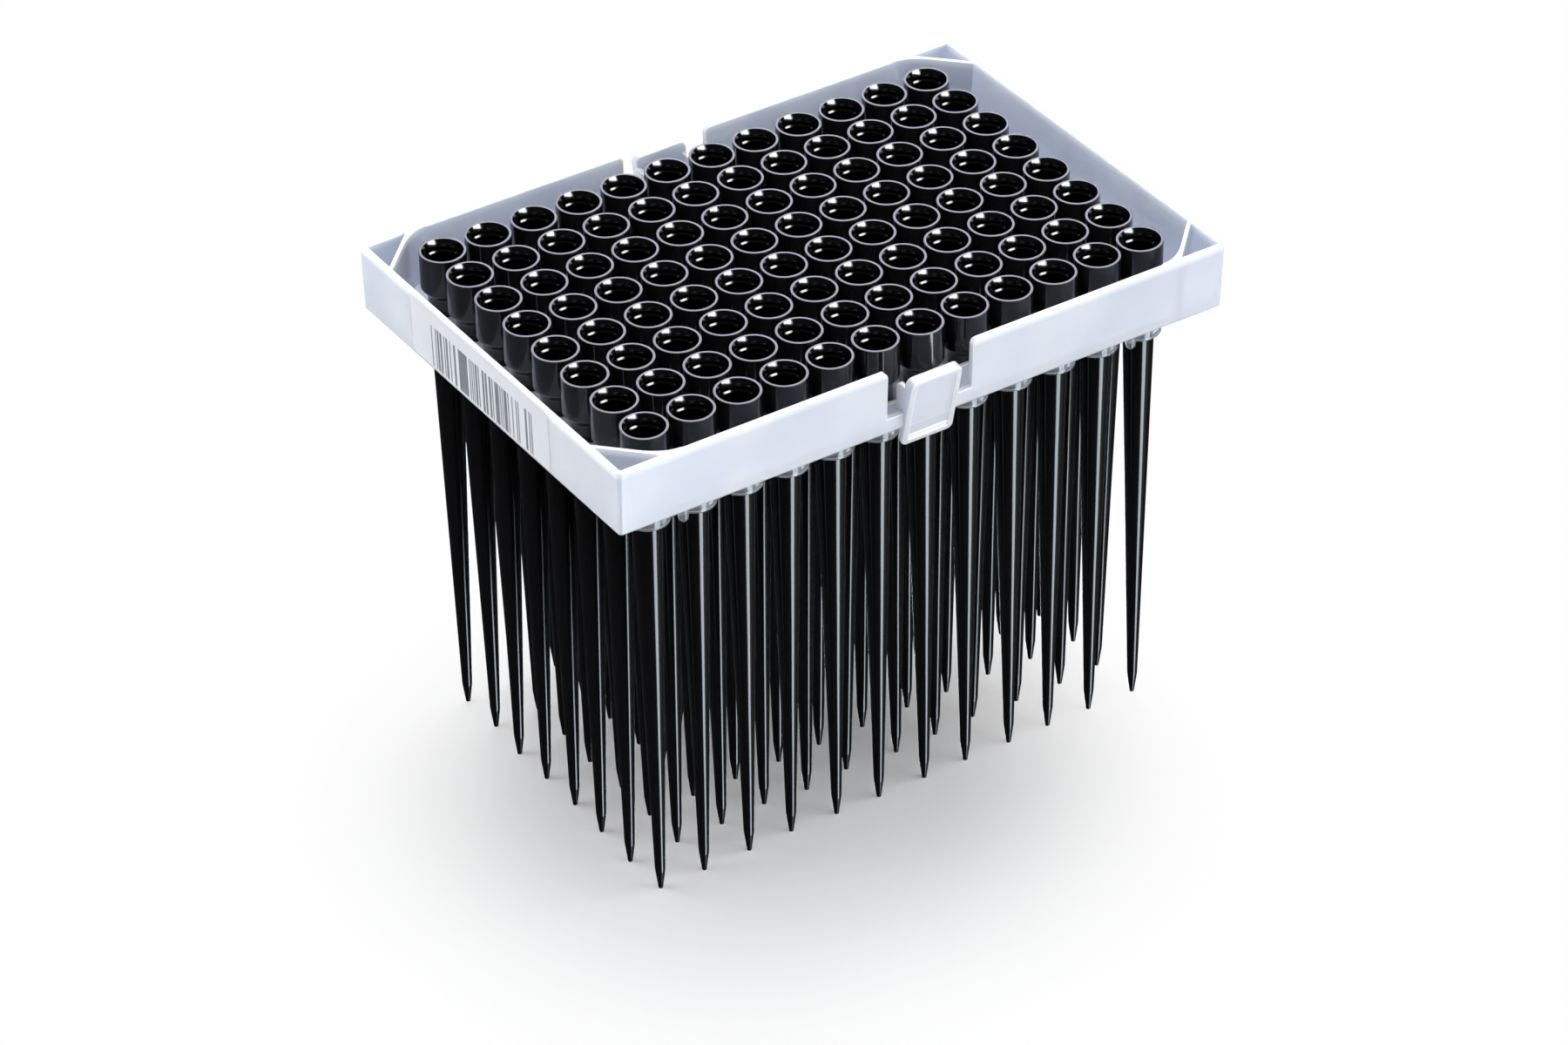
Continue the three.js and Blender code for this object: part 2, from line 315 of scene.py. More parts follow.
def shown(tree, surface):
    add(tree, "ShaderNodeOutputMaterial", {"Surface": surface})


def own_place(tree):
    return add(tree, "ShaderNodeTexCoord").outputs["Object"]


def two_tones(tree, place, patch, detail, dark, pale, stops=(0.0, 1.0)):
    """A colour that wanders between two tones, in patches of about one size."""
    noise = add(tree, "ShaderNodeTexNoise", {"Vector": place}, Scale=1 / patch, Detail=detail)
    tone = add(tree, "ShaderNodeValToRGB", {"Fac": noise.outputs["Fac"]})
    for element, at, colour in zip(tone.color_ramp.elements, stops, (dark, pale)):
        element.position = at
        element.color = linear(colour)
    return tone.outputs["Color"]


def grey_ramp(tree, source, stops):
    """A number that follows another through stops, given as pairs of a place and a number."""
    (first, start), (last, _) = stops[0], stops[-1]
    share = add(tree, "ShaderNodeMapRange", {"Value": source}, From_Min=first, From_Max=last)
    ramp = add(tree, "ShaderNodeValToRGB", {"Fac": share.outputs["Result"]})
    elements = ramp.color_ramp.elements
    elements.remove(elements[1])
    elements[0].color = (start, start, start, 1)
    for at, number in stops[1:]:
        elements.new((at - first) / (last - first)).color = (number, number, number, 1)
    return ramp.outputs["Color"]


def natural_polypropylene(name, clearness, edge):
    """Natural polypropylene, injection moulded in a satin tool: milky, light soaks in. Its edges are
    painted whiter, a painted highlight, and let less through. What lies close behind it shows through,
    blurred. Clearness gives how much, in pairs of a height and a number, and edge how wide the painted
    highlight on the edges is. Below the deck the tool is polished, so the collars are glossy."""
    material, tree = shader_tree(name)
    place = own_place(tree)
    tone = two_tones(tree, place, 14 * MM, 2.0, "#e2e7f1", "#ecf0f8", stops=(0.35, 0.7))
    rounded = add(tree, "ShaderNodeBevel", samples=6, Radius=edge)
    flat = add(tree, "ShaderNodeNewGeometry").outputs["Normal"]
    turn = add(
        tree, "ShaderNodeVectorMath", {0: rounded.outputs["Normal"], 1: flat},
        operation="DOT_PRODUCT",
    )
    near_edge = add(
        tree, "ShaderNodeMapRange", {"Value": turn.outputs["Value"]}, From_Min=0.99, From_Max=0.86,
    ).outputs["Result"]
    # Painted highlight: near rounded edges the base colour turns white
    white = add(
        tree, "ShaderNodeMix", {"Factor": near_edge, 6: tone, 7: linear("#ffffff")},
        data_type="RGBA",
    )
    satin = add(tree, "ShaderNodeTexNoise", {"Vector": place}, Scale=1 / (0.35 * MM), Detail=2.0)
    bump = add(
        tree, "ShaderNodeBump",
        {"Height": satin.outputs["Fac"], "Normal": rounded.outputs["Normal"]},
        Strength=0.12, Distance=0.02 * MM,
    )
    height = add(tree, "ShaderNodeSeparateXYZ", {"Vector": place}).outputs["Z"]
    clear = grey_ramp(tree, height, clearness)
    inner = add(tree, "ShaderNodeMath", {0: 1.0, 1: near_edge}, operation="SUBTRACT")
    through = add(tree, "ShaderNodeMath", {0: clear, 1: inner.outputs[0]}, operation="MULTIPLY")
    roughness = add(
        tree, "ShaderNodeMapRange", {"Value": height}, From_Min=polished_below,
        From_Max=satin_above, To_Min=0.1, To_Max=0.27,
    )
    plastic = add(
        tree, "ShaderNodeBsdfPrincipled",
        {"Base Color": white.outputs[2], "Normal": bump.outputs["Normal"],
         "Transmission Weight": through.outputs[0], "Roughness": roughness.outputs["Result"]},
        IOR=1.49, Subsurface_Weight=1.0, Subsurface_Scale=1.2 * MM,
        Subsurface_Radius=(1.0, 1.05, 1.15),
    )
    shown(tree, plastic.outputs["BSDF"])
    return material


def conductive_polypropylene():
    """Carbon-filled black polypropylene, glossy and nearly without colour. Its outside comes from a
    turned mould, whose marks draw the highlights out along the tip, and its bore from a polished
    core pin."""
    material, tree = shader_tree("conductive_black_polypropylene")
    place = own_place(tree)
    along = add(tree, "ShaderNodeTangent", direction_type="UV_MAP", uv_map="length_and_turn")
    turned = add(tree, "ShaderNodeAttribute", attribute_name="turned").outputs["Fac"]
    rings = add(tree, "ShaderNodeMapping", {"Vector": place}, Scale=(0.1, 0.1, 1.0))
    marks = add(
        tree, "ShaderNodeTexNoise", {"Vector": rings.outputs["Vector"]}, Scale=1 / (0.3 * MM),
    )
    bump = add(
        tree, "ShaderNodeBump", {"Height": marks.outputs["Fac"]}, Strength=0.05, Distance=0.01 * MM,
    )
    roughness = add(tree, "ShaderNodeMapRange", {"Value": turned}, To_Min=0.13, To_Max=0.4)
    plastic = add(
        tree, "ShaderNodeBsdfPrincipled",
        {"Normal": bump.outputs["Normal"], "Tangent": along.outputs["Tangent"],
         "Roughness": roughness.outputs["Result"], "Anisotropic": turned},
        Base_Color=linear("#060608"), IOR=1.49, Specular_IOR_Level=0.05,
        Coat_Weight=1.0, Coat_Roughness=0.12, Coat_IOR=1.49,
    )
    shown(tree, plastic.outputs["BSDF"])
    return material


def rim_polypropylene():
    """The same black polypropylene where core pin and mould met: a finely matt ring, which catches
    pale light from above and draws each mouth as a thin line."""
    material, tree = shader_tree("conductive_black_polypropylene_rim")
    place = own_place(tree)
    grain = add(tree, "ShaderNodeTexNoise", {"Vector": place}, Scale=1 / (0.2 * MM))
    roughness = add(
        tree, "ShaderNodeMapRange", {"Value": grain.outputs["Fac"]}, To_Min=0.38, To_Max=0.46,
    )
    plastic = add(
        tree, "ShaderNodeBsdfPrincipled", {"Roughness": roughness.outputs["Result"]},
        Base_Color=linear("#08080a"), IOR=1.49,
    )
    shown(tree, plastic.outputs["BSDF"])
    return material


def flat_print(name, patch, detail, dark, pale, roughness):
    """A thin flat layer of two close tones."""
    material, tree = shader_tree(name)
    tone = two_tones(tree, own_place(tree), patch, detail, dark, pale)
    layer = add(
        tree, "ShaderNodeBsdfPrincipled", {"Base Color": tone}, Roughness=roughness, IOR=1.5,
    )
    shown(tree, layer.outputs["BSDF"])
    return material


def printing_ink():
    """Grey pad-printing ink on the milky wall: flat and slightly uneven."""
    return flat_print("pad_printed_ink", 3 * MM, 2.0, "#676c72", "#858a90", 0.55)


def label_film():
    """Clear label film under a matt varnish: it takes the blue out of the milky wall below."""
    return flat_print("matt_varnished_label_film", 5 * MM, 3.0, "#cacdd4", "#d4d7dc", 0.5)


def pale_floor():
    """A matt white table that also glows white of its own: a little below the rack, so that the shadow
    there stays pale, and fully some way out from a set centre, a painted glow that fades the shadow out
    where it meets the white studio. Its underside is clear, so that the rack can be looked at from below."""
    material, tree = shader_tree("matt_white_table")
    place = own_place(tree)
    away = add(tree, "ShaderNodeVectorMath", {0: place, 1: SHADOW_CENTRE}, operation="DISTANCE")
    # Painted glow: the table's own white grows with the distance from a set centre and fades the shadow out
    own = add(
        tree, "ShaderNodeMapRange", {"Value": away.outputs["Value"]},
        interpolation_type="SMOOTHSTEP", From_Min=SHADOW_CORE, From_Max=SHADOW_REACH,
        To_Min=0.12, To_Max=1.0,
    )
    path = add(tree, "ShaderNodeLightPath").outputs
    seen = add(
        tree, "ShaderNodeMath", {0: path["Is Camera Ray"], 1: path["Is Transmission Ray"]},
        operation="MAXIMUM",
    )
    share = add(
        tree, "ShaderNodeMath", {0: seen.outputs[0], 1: own.outputs["Result"]},
        operation="MULTIPLY",
    )
    matt = add(tree, "ShaderNodeBsdfDiffuse", Color=linear("#ffffff")).outputs[0]
    white = add(tree, "ShaderNodeEmission", Color=linear("#ffffff"), Strength=1.0).outputs[0]
    top = add(tree, "ShaderNodeMixShader", {0: share.outputs[0], 1: matt, 2: white})
    side = add(tree, "ShaderNodeNewGeometry").outputs["Backfacing"]
    clear = add(tree, "ShaderNodeBsdfTransparent")
    whole = add(tree, "ShaderNodeMixShader", {0: side, 1: top.outputs[0], 2: clear.outputs[0]})
    shown(tree, whole.outputs[0])
    return material


# ---------------------------------------------------------------- geometry-node trees

def tree_with(name, sizes):
    """A node group with a geometry output and the named inputs given as (name, kind, value)."""
    tree = bpy.data.node_groups.new(name, "GeometryNodeTree")
    tree.interface.new_socket("Geometry", in_out="OUTPUT", socket_type="NodeSocketGeometry")
    for label, kind, value in sizes:
        kind = "NodeSocket" + kind
        socket = tree.interface.new_socket(label, in_out="INPUT", socket_type=kind)
        if value is not None:
            socket.default_value = value
    return tree, tree.nodes.new("NodeGroupInput").outputs


def grid_points(tree, given):
    """Points on the grid of columns and rows, at the level given."""
    spans = []
    for count in ("Columns", "Rows"):
        less = add(tree, "ShaderNodeMath", {0: given[count], 1: 1}, operation="SUBTRACT")
        span = add(
            tree, "ShaderNodeMath", {0: less.outputs[0], 1: given["Pitch"]}, operation="MULTIPLY",
        )
        spans.append(span.outputs[0])
    grid = add(
        tree, "GeometryNodeMeshGrid",
        {"Size X": spans[0], "Size Y": spans[1],
         "Vertices X": given["Columns"], "Vertices Y": given["Rows"]},
    )
    lift = add(tree, "ShaderNodeCombineXYZ", {"Z": given["Level"]})
    return add(
        tree, "GeometryNodeTransform",
        {"Geometry": grid.outputs["Mesh"], "Translation": lift.outputs[0]},
    ).outputs["Geometry"]


def finished(tree, geometry, finish):
    """The geometry's instances made real, with a material on them."""
    real = add(tree, "GeometryNodeRealizeInstances", {"Geometry": geometry})
    return add(
        tree, "GeometryNodeSetMaterial", {"Geometry": real.outputs["Geometry"]}, Material=finish,
    ).outputs["Geometry"]


GRID = [("Columns", "Int", COLUMNS), ("Rows", "Int", ROWS), ("Pitch", "Float", pitch)]


def tips_tree(finish, rim_finish):
    """Stands a tip on each point of the grid, all leaning one way and each a little its own way."""
    tree, given = tree_with(
        "grid_of_tips",
        [("Tip", "Object", None), ("Level", "Float", deck_top), ("Lean", "Vector", (*TIP_LEAN, 0)),
         ("Play", "Vector", (TIP_PLAY, TIP_PLAY, 0)), ("Seed", "Int", 7)] + GRID,
    )
    points = grid_points(tree, given)
    low, high = (
        add(
            tree, "ShaderNodeVectorMath", {0: given["Lean"], 1: given["Play"]}, operation=operation,
        ).outputs[0]
        for operation in ("SUBTRACT", "ADD")
    )
    lean = add(
        tree, "FunctionNodeRandomValue", {0: low, 1: high, "Seed": given["Seed"]},
        data_type="FLOAT_VECTOR",
    )
    tip = add(tree, "GeometryNodeObjectInfo", {"Object": given["Tip"]}).outputs["Geometry"]
    stood = add(
        tree, "GeometryNodeInstanceOnPoints",
        {"Points": points, "Instance": tip, "Rotation": lean.outputs[0]},
    )
    whole = finished(tree, stood.outputs["Instances"], finish)
    rim = add(tree, "GeometryNodeInputNamedAttribute", Name="rim").outputs["Attribute"]
    dressed = add(
        tree, "GeometryNodeSetMaterial", {"Geometry": whole, "Selection": rim}, Material=rim_finish,
    )
    add(tree, "NodeGroupOutput", {"Geometry": dressed.outputs["Geometry"]})
    return tree


def tray_tree(finish):
    """Joins a collar to the shell at each point of the grid, then bores them all."""
    tree, given = tree_with(
        "collared_tray",
        [("Shell", "Object", None), ("Collar", "Object", None), ("Bore", "Object", None),
         ("Level", "Float", 0.0)] + GRID,
    )
    points = grid_points(tree, given)
    shape = add(tree, "GeometryNodeObjectInfo", {"Object": given["Shell"]}).outputs["Geometry"]
    for part, operation in (("Collar", "UNION"), ("Bore", "DIFFERENCE")):
        single = add(tree, "GeometryNodeObjectInfo", {"Object": given[part]}).outputs["Geometry"]
        copies = add(tree, "GeometryNodeInstanceOnPoints", {"Points": points, "Instance": single})
        real = add(tree, "GeometryNodeRealizeInstances", {"Geometry": copies.outputs["Instances"]})
        cut = add(tree, "GeometryNodeMeshBoolean", operation=operation, solver="MANIFOLD")
        tree.links.new(real.outputs["Geometry"], cut.inputs["Mesh 2"])
        tree.links.new(shape, cut.inputs["Mesh 2" if operation == "UNION" else "Mesh 1"])
        shape = cut.outputs["Mesh"]
    add(tree, "NodeGroupOutput", {"Geometry": finished(tree, shape, finish)})
    return tree


def bars_tree(finish):
    """Upright bars: a row of equal steps, each inked or left bare by chance from a fixed seed."""
    tree, given = tree_with(
        "printed_bars",
        [("Steps", "Int", PRINT_STEPS), ("Length", "Float", PRINT_LENGTH),
         ("Height", "Float", PRINT_HEIGHT), ("Film", "Float", INK_FILM),
         ("Inked", "Float", 0.5), ("Seed", "Int", 3)],
    )
    end = add(tree, "ShaderNodeCombineXYZ", {"Y": given["Length"]})
    row = add(
        tree, "GeometryNodeMeshLine", {"Count": given["Steps"], "Offset": end.outputs[0]},
        mode="END_POINTS",
    )
    inked = add(
        tree, "FunctionNodeRandomValue", {"Probability": given["Inked"], "Seed": given["Seed"]},
        data_type="BOOLEAN",
    )
    width = add(tree, "ShaderNodeMath", {0: given["Length"], 1: given["Steps"]}, operation="DIVIDE")
    size = add(
        tree, "ShaderNodeCombineXYZ",
        {"X": given["Film"], "Y": width.outputs[0], "Z": given["Height"]},
    )
    bar = add(tree, "GeometryNodeMeshCube", {"Size": (1, 1.03, 1)})  # a little wider than a step
    copies = add(
        tree, "GeometryNodeInstanceOnPoints",
        {"Points": row.outputs["Mesh"], "Selection": inked.outputs["Value"],
         "Instance": bar.outputs["Mesh"], "Scale": size.outputs[0]},
    )
    dressed = finished(tree, copies.outputs["Instances"], finish)
    add(tree, "NodeGroupOutput", {"Geometry": dressed})
    return tree


def grown(name, tree, inputs, place=Matrix.Identity(4)):
    """A plain mesh object made by a geometry-node tree from input objects, which are used up. Its
    place is in its mesh."""
    carrier = new_object(name + "_carrier", bpy.data.meshes.new(name + "_carrier"))
    modifier = carrier.modifiers.new("grown", "NODES")
    modifier.node_group = tree
    for item in tree.interface.items_tree:
        if item.in_out == "INPUT" and item.name in inputs:
            modifier[item.identifier] = inputs[item.name]
    seen = carrier.evaluated_get(bpy.context.evaluated_depsgraph_get())
    mesh = bpy.data.meshes.new_from_object(seen)
    mesh.name = name
    mesh.transform(place)
    for used in [carrier, *inputs.values()]:
        bpy.data.objects.remove(used)
    return new_object(name, mesh)


def shade_smooth(piece, degrees=SMOOTH_MOULDING):
    """Smooth shading up to an angle, with normals that keep the large faces flat."""
    piece.data.polygons.foreach_set("use_smooth", [True] * len(piece.data.polygons))
    piece.data.set_sharp_from_angle(angle=math.radians(degrees))
    weighted = piece.modifiers.new("weighted", "WEIGHTED_NORMAL")
    weighted.weight = 90
    weighted.keep_sharp = True
    seen = piece.evaluated_get(bpy.context.evaluated_depsgraph_get())
    piece.data = bpy.data.meshes.new_from_object(seen)
    piece.modifiers.clear()


# ---------------------------------------------------------------- tips

def body_radius(level):
    """The tapered body's outer radius at a level."""
    share = (shoulder_foot - level) / (shoulder_foot - POINT_HEIGHT)
    return NECK_RADIUS + (POINT_RADIUS - NECK_RADIUS) * share


def tip_profile():
    """Radius and level round the tip's wall: up the outside, over the rim and down the bore."""
    (point_low, point_high, point_in), (neck_low, neck_high, neck_out) = POINT_BEND, NECK_BEND
    head_low, head_high, head_in = HEAD_BEND
    body = (
        POINT_HEIGHT + point_high, *BODY_RINGS, shoulder_foot - NECK_RING, shoulder_foot - neck_low,
    )
    outside = [
        (ORIFICE_RADIUS + ORIFICE_WALL, 0.0),
        (POINT_RADIUS - point_in, POINT_HEIGHT - point_low),
        *((body_radius(level), level) for level in body),
        (NECK_RADIUS + neck_out, shoulder_foot + neck_high),
        (head_radius - head_in, head_foot - head_low),
        (head_radius, head_foot + head_high),
    ]
    rim = arc((head_radius - RIM_ROUND, rim_level - RIM_ROUND), RIM_ROUND, 0, 90, 3)
    mouth = head_radius - RIM_WIDTH
    bore = mouth - MOUTH_TAPER
    groove = rim_level - GROOVE_DEPTH
    lip = groove - GROOVE_HEIGHT
    relieved = bore + GROOVE_RELIEF
    seat = relieved - LIP_WIDTH
    inside = [
        (mouth, rim_level), (bore, rim_level - MOUTH_DEPTH), (bore, groove),
        (relieved, groove - GROOVE_RELIEF), (relieved, lip),
        (seat, lip - LIP_HEIGHT), (seat, head_foot + SEAT_FOOT),
        (NECK_RADIUS - TIP_WALL, shoulder_foot), (ORIFICE_RADIUS, 0.0),
    ]
    return outside + rim + inside


def make_tip(bm):
    """A hollow tip about its own axis, with its origin at the deck. Its faces say whether they are
    turned and whether they are rim, and its UV map runs along the tip and round it."""
    profile = tip_profile()
    rings = [circle(radius, level - deck_top, TIP_SIDES) for radius, level in profile]
    loft(bm, rings, joined_round=True)
    uv = bm.loops.layers.uv.new("length_and_turn")
    turned = bm.faces.layers.float.new("turned")
    rim = bm.faces.layers.float.new("rim")
    outer_rings = next(i for i, (_, level) in enumerate(profile) if level > head_foot) + 1
    rim_foot = rim_level - deck_top - 1.1 * RIM_ROUND
    for number, face in enumerate(bm.faces):
        face[turned] = float(number < TIP_SIDES * outer_rings)
        face[rim] = float(min(vert.co.z for vert in face.verts) > rim_foot)
        angles = [math.atan2(loop.vert.co.y, loop.vert.co.x) for loop in face.loops]
        wraps = max(angles) - min(angles) > math.pi
        for loop, angle in zip(face.loops, angles):
            turn = angle + 2 * math.pi if wraps and angle < 0 else angle
            radius = math.hypot(loop.vert.co.x, loop.vert.co.y)
            loop[uv].uv = ((loop.vert.co.z - 0.5 * radius) / rim_level, turn / (2 * math.pi))
        face.smooth = True


def build_tips(finish, rim_finish):
    blank = object_from("tip_blank", make_tip)
    piece = grown("tips", tips_tree(finish, rim_finish), {"Tip": blank})
    shade_smooth(piece, SMOOTH_TIPS)
    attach(piece, "tray_body")
    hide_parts("tray", *[name for name in frame["nodes"] if name.startswith("tip_")])


# ---------------------------------------------------------------- tray

def inset_at(level):
    """How far the tray's outer face has come in at a level."""
    return WALL_LEAN * (rim_level - level) / wall_height


def softened(radius):
    """A rounded lower edge, from its foot up: how far in from the side, and how far up."""
    angles = (0, math.pi / 6, math.pi / 3, math.pi / 2)
    return [(radius * (1 - math.sin(a)), radius * (1 - math.cos(a))) for a in angles]


def make_pan(bm):
    """Walls and deck: up the outside, over the rounded top edge and down to the deck."""
    start = inset_at(deck_bottom)
    profile = [(start + dx, deck_bottom + dz) for dx, dz in softened(EDGE_ROUND)]
    outer_top = [(EDGE_ROUND - dx, rim_level - EDGE_ROUND + dz)
                 for dx, dz in arc((0, 0), EDGE_ROUND, 0, 90, 3)]
    inner_top = [(TRAY_WALL - EDGE_ROUND + dx, rim_level - EDGE_ROUND + dz)
                 for dx, dz in arc((0, 0), EDGE_ROUND, 90, 0, 3)]
    foot = TRAY_WALL + inset_at(deck_top)
    foot_curve = [(foot + FOOT_ROUND + dx, deck_top + FOOT_ROUND + dz)
                  for dx, dz in arc((0, 0), FOOT_ROUND, 180, 270, 3)]
    rings = []
    for inset, level in profile + outer_top + inner_top + foot_curve:
        corner = max(TRAY_CORNER - inset, 0.25 * MM)
        rings.append(rounded_rectangle(half_length - inset, half_width - inset, corner, level))
    loft(bm, rings)


def web_outline(sign_x, sign_y):
    """A slanted web between an end wall and a long wall, with a flared end at the long wall."""
    reach_x = half_length - TRAY_WALL / 2 - last_column
    reach_y = half_width - TRAY_WALL / 2 - last_row
    near = (WEB_OFFSET - WEB_THICKNESS / 2) * math.sqrt(2)
    far = (WEB_OFFSET + WEB_THICKNESS / 2) * math.sqrt(2)
    flare_y = reach_y - TRAY_WALL / 2
    half_flare = WEB_FLARE / 2
    start, middle, end = (
        Vector((near - flare_y - half_flare, flare_y)),
        Vector((near - flare_y, flare_y)),
        Vector((near - flare_y + half_flare, flare_y - half_flare)),
    )
    points = [
        (reach_x, near - reach_x), (reach_x, far - reach_x), (far - reach_y, reach_y),
        (start.x, reach_y),
    ]
    for i in range(WEB_STEPS + 1):
        t = i / WEB_STEPS
        points.append(tuple(start * (1 - t) ** 2 + middle * 2 * t * (1 - t) + end * t ** 2))
    return [(sign_x * (last_column + x), sign_y * (last_row + y)) for x, y in points]


def make_webs(bm):
    for sign_x in (1, -1):
        for sign_y in (1, -1):
            outline = web_outline(sign_x, sign_y)
            levels = (deck_top - DECK_THICKNESS / 2, rim_level - WEB_DROP)
            prism(bm, outline, levels, lambda x, y, level: Vector((x, y, level)))


def make_curbs(bm):
    """A low wall behind each slot, reaching a little past the gap on both sides."""
    outer = half_width - TRAY_WALL - WALL_LEAN - SLOT_WIDTH
    reach = GAP_WIDTH / 2 + CURB_REACH
    foot, top = deck_bottom + CURB_ROOT, deck_bottom + CURB_HEIGHT
    for sign in (1, -1):
        near, far = sorted((sign * outer, sign * (outer - CURB_THICKNESS)))
        block(bm, (-reach, near, foot), (reach, far, top))


def make_pins(bm):
    """Domed pins under the deck, past the outer rows and half a pitch in from the end columns."""
    for sign_x in (1, -1):
        for sign_y in (1, -1):
            centre = (sign_x * (last_column - pitch / 2), sign_y * (last_row + PIN_OFFSET))
            dome = [(PIN_RADIUS * math.cos(a), collar_bottom + PIN_RADIUS * (1 - math.sin(a)))
                    for a in (math.radians(80), math.radians(50), math.radians(25), 0)]
            rings = [circle(radius, level, PIN_SIDES, centre) for radius, level in dome]
            rings.append(circle(PIN_RADIUS, deck_top - PIN_ROOT, PIN_SIDES, centre))
            loft(bm, rings)


def make_gap_cut(bm):
    """The gap in both long walls, wider above its rounded upper corners."""
    half = GAP_WIDTH / 2
    bar_top = deck_bottom + BAR_HEIGHT
    side = arc((half + GAP_CORNER, rim_level - GAP_CORNER), GAP_CORNER, 180, 90, 6)
    right = [(half, bar_top)] + side + [(half + GAP_CORNER, rim_level + PAST)]
    outline = right + [(-x, z) for x, z in reversed(right)]
    reach = half_width + PAST
    prism(bm, outline, (-reach, reach), lambda x, z, y: Vector((x, y, z)))


def make_clip_cuts(bm):
    """Behind each bar the slot through the deck, and in each bar the room for its clip."""
    room = CLIP_WIDTH / 2 + JOIN_PLAY
    inner = half_width - TRAY_WALL - WALL_LEAN
    foot, top = deck_bottom - PAST, deck_bottom + BAR_HEIGHT + PAST
    for sign in (1, -1):
        slot = sorted((sign * (inner - SLOT_WIDTH), sign * inner))
        bar = sorted((sign * (inner - JOIN_DEPTH), sign * (half_width + PAST)))
        block(bm, (-GAP_WIDTH / 2, slot[0], foot), (GAP_WIDTH / 2, slot[1], deck_top + PAST))
        block(bm, (-room, bar[0], foot), (room, bar[1], top))


def joined(base, others, operation):
    """The base with the other objects joined to it or cut out of it; the others are used up."""
    for other in others:
        modifier = base.modifiers.new(operation.lower(), "BOOLEAN")
        modifier.operation = operation
        modifier.solver = "MANIFOLD"
        modifier.object = other
    seen = base.evaluated_get(bpy.context.evaluated_depsgraph_get())
    mesh = bpy.data.meshes.new_from_object(seen)
    name = base.name
    for used in [base, *others]:
        bpy.data.objects.remove(used)
    return new_object(name, mesh)


def make_collar(bm):
    """A round collar with a softened lower edge, its root sunk in the deck."""
    rings = [circle(COLLAR_RADIUS - dx, collar_bottom + dz, COLLAR_SIDES)
             for dx, dz in softened(COLLAR_ROUND)]
    rings.append(circle(COLLAR_RADIUS, deck_top - COLLAR_ROOT, COLLAR_SIDES))
    loft(bm, rings)


def make_bore(bm):
    """What is bored out of a collar: the tip's own taper with a little play, and a lead-in at the
    deck."""
    mouth = body_radius(deck_top) + COLLAR_PLAY + LEAD_IN
    profile = [(body_radius(level) + COLLAR_PLAY, level)
               for level in (collar_bottom - PAST, deck_top - LEAD_IN)]
    profile += [(mouth, deck_top), (mouth, deck_top + PAST)]
    loft(bm, [circle(radius, level, COLLAR_SIDES) for radius, level in profile])


def build_tray(finish):
    ribs = [object_from(name, maker) for name, maker in
            (("webs", make_webs), ("curbs", make_curbs), ("pins", make_pins))]
    pan = joined(object_from("pan", make_pan), ribs, "UNION")
    cuts = [object_from("gap_cut", make_gap_cut), object_from("clip_cuts", make_clip_cuts)]
    parts = {
        "Shell": joined(pan, cuts, "DIFFERENCE"),
        "Collar": object_from("collar", make_collar),
        "Bore": object_from("bore", make_bore),
    }
    piece = grown("tray_moulding", tray_tree(finish), parts)
    shade_smooth(piece)
    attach(piece, "tray_body")
    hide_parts("tray")


# ---------------------------------------------------------------- clips
# Made about the hinge, facing the front: heights are above it.

def clip_back(height):
    """The y of the leaning plate's back face at a height."""
    return CLIP_BACK - height * math.tan(CLIP_LEAN)


def clip_front(height):
    """The y of the plate's front face, which leans a little more, at a height."""
    share = (height + CLIP_BELOW) / (CLIP_ABOVE + CLIP_BELOW)
    return clip_back(height) - (CLIP_FOOT + (CLIP_TOP - CLIP_FOOT) * share)


def clip_plate(bm):
    """The plate: rings from its back round its softened front edge to a frame and a sunk panel."""
    top = CLIP_ABOVE - CLIP_TOP * math.tan(CLIP_LEAN)
    foot = CLIP_FOOT * math.tan(CLIP_LEAN) - CLIP_BELOW
    back, front = (foot, CLIP_ABOVE, clip_back), (-CLIP_BELOW, top, clip_front)
    frame_inset = CLIP_ROUND + PANEL_BORDER
    soft = 0.3 * CLIP_ROUND
    rings = []
    for (low, high, face), inset, depth in (
        (back, 0, 0), (front, 0, CLIP_ROUND), (front, soft, soft), (front, CLIP_ROUND, 0),
        (front, frame_inset, 0), (front, frame_inset + PANEL_SLOPE, PANEL_DEPTH),
    ):
        half_x, half_z, middle = CLIP_WIDTH / 2 - inset, (high - low) / 2 - inset, (low + high) / 2
        ring = rounded_rectangle(half_x, half_z, max(CLIP_CORNER - inset, LEAST_CORNER), 0)
        rings.append([Vector((x, face(z + middle) + depth, z + middle)) for x, z, _ in ring])
    loft(bm, rings)


def clip_back_parts(bm):
    """The hub that meets the bar, and the two flanges on the clip's back."""
    half = Vector((CLIP_WIDTH, TRAY_WALL, BAR_HEIGHT)) / 2
    block(bm, -half, half)
    foot = BAR_HEIGHT / 2 - FLANGE_SINK
    outline = [
        (clip_back(FLANGE_TOP) - CLIP_FOOT / 2, FLANGE_TOP),
        (FLANGE_DEPTH - FLANGE_CHAMFER, FLANGE_TOP),
        (FLANGE_DEPTH, FLANGE_TOP - FLANGE_CHAMFER),
        (FLANGE_DEPTH, foot),
        (clip_back(foot) - CLIP_FOOT / 2, foot),
    ]
    for side in (-1, 1):
        middle = side * (CLIP_WIDTH - FLANGE_THICKNESS) / 2
        levels = (middle - FLANGE_THICKNESS / 2, middle + FLANGE_THICKNESS / 2)
        prism(bm, outline, levels, lambda y, z, x: Vector((x, y, z)))


def clip_rib(bm):
    """The narrow rib across the foot of the sunk panel."""
    low = RIB_LEVEL - CLIP_BELOW
    high = low + RIB_HEIGHT
    half = CLIP_WIDTH / 2 - RIB_INSET
    root = PANEL_DEPTH + RIB_ROOT
    outline = [
        (clip_front(low) + root, low), (clip_front(high) + root, high),
        (clip_front(high) + RIB_SINK, high), (clip_front(low) + RIB_SINK, low),
    ]
    prism(bm, outline, (-half, half), lambda y, z, x: Vector((x, y, z)))


